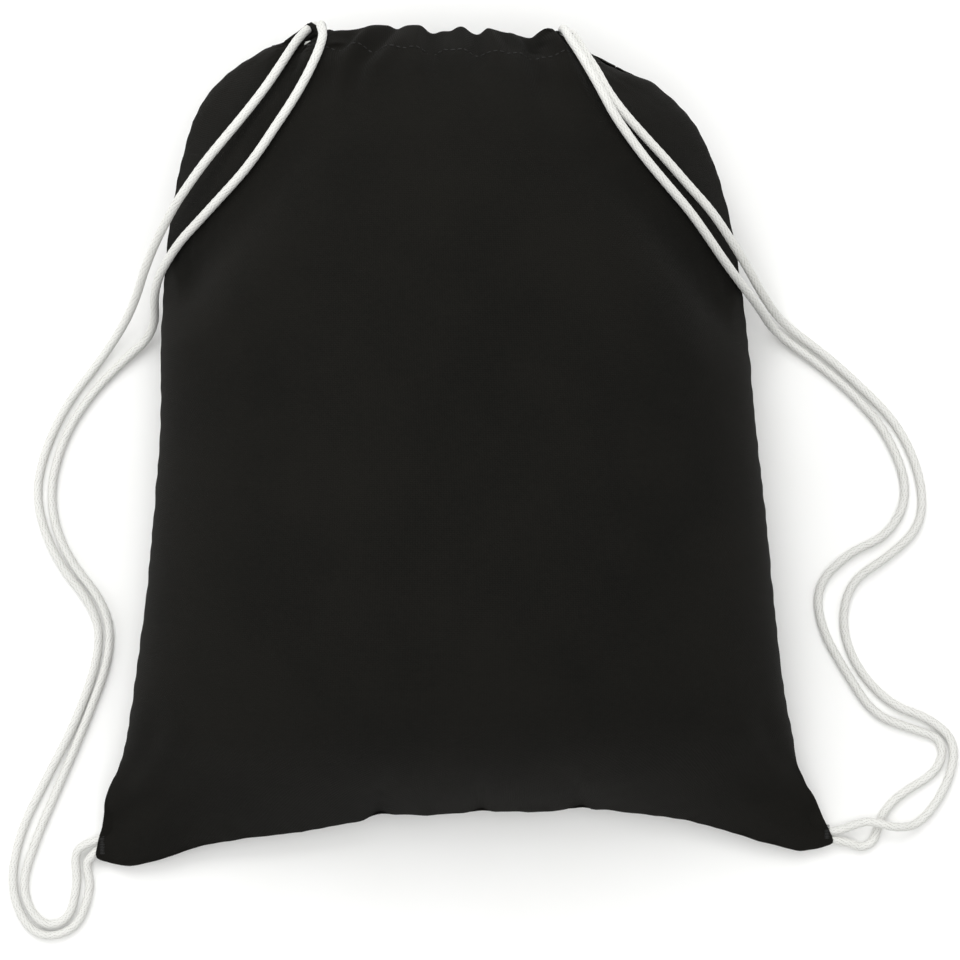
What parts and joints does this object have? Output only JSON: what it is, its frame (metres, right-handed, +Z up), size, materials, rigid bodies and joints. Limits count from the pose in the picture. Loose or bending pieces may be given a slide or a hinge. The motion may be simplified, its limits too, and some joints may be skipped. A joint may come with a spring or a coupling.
{
  "type": "drawstring backpack",
  "caption": "Cotton drawstring backpack, filled out, lying on its back with the mouth cinched shut and its doubled cord straps laid out at both sides.",
  "frame": {"origin": "under the middle of the bag's bounding box, cords left out, on the surface that the bag lies on", "axes": "+Y from the bottom seam to the drawn mouth, +X to the right seen from the front, +Z up out of the front panel"},
  "size_m": [0.4541, 0.4314, 0.1159],
  "materials": {
    "black_cotton": "matte plain-woven cotton, faded to charcoal black",
    "black_thread": "matte spun sewing thread",
    "white_cord": "matte braided cotton cord"
  },
  "bodies": {
    "bag": {"front_panel": "black_cotton", "back_panel": "black_cotton", "back_hem": "black_cotton", "bottom_seam": "black_cotton", "left_side_seam": "black_cotton", "right_side_seam": "black_cotton", "left_corner_bartack": "black_thread", "right_corner_bartack": "black_thread", "back_hem_stitching": "black_thread", "left_cord_back_run": "white_cord", "left_cord_bight": "white_cord", "left_inner_strand": "white_cord", "left_outer_strand": "white_cord", "right_cord_back_run": "white_cord", "right_cord_bight": "white_cord", "right_inner_strand": "white_cord", "right_outer_strand": "white_cord"},
    "front_lip": {"front_hem": "black_cotton", "front_hem_stitching": "black_thread", "left_cord_front_run": "white_cord", "right_cord_front_run": "white_cord"}
  },
  "joints": [
    {"name": "mouth_open", "type": "hinge", "parent": "bag", "child": "front_lip", "pos_m": [0, 0.095, 0.042], "axis": [1, 0, 0], "range_deg": [0, 18]}
  ]
}
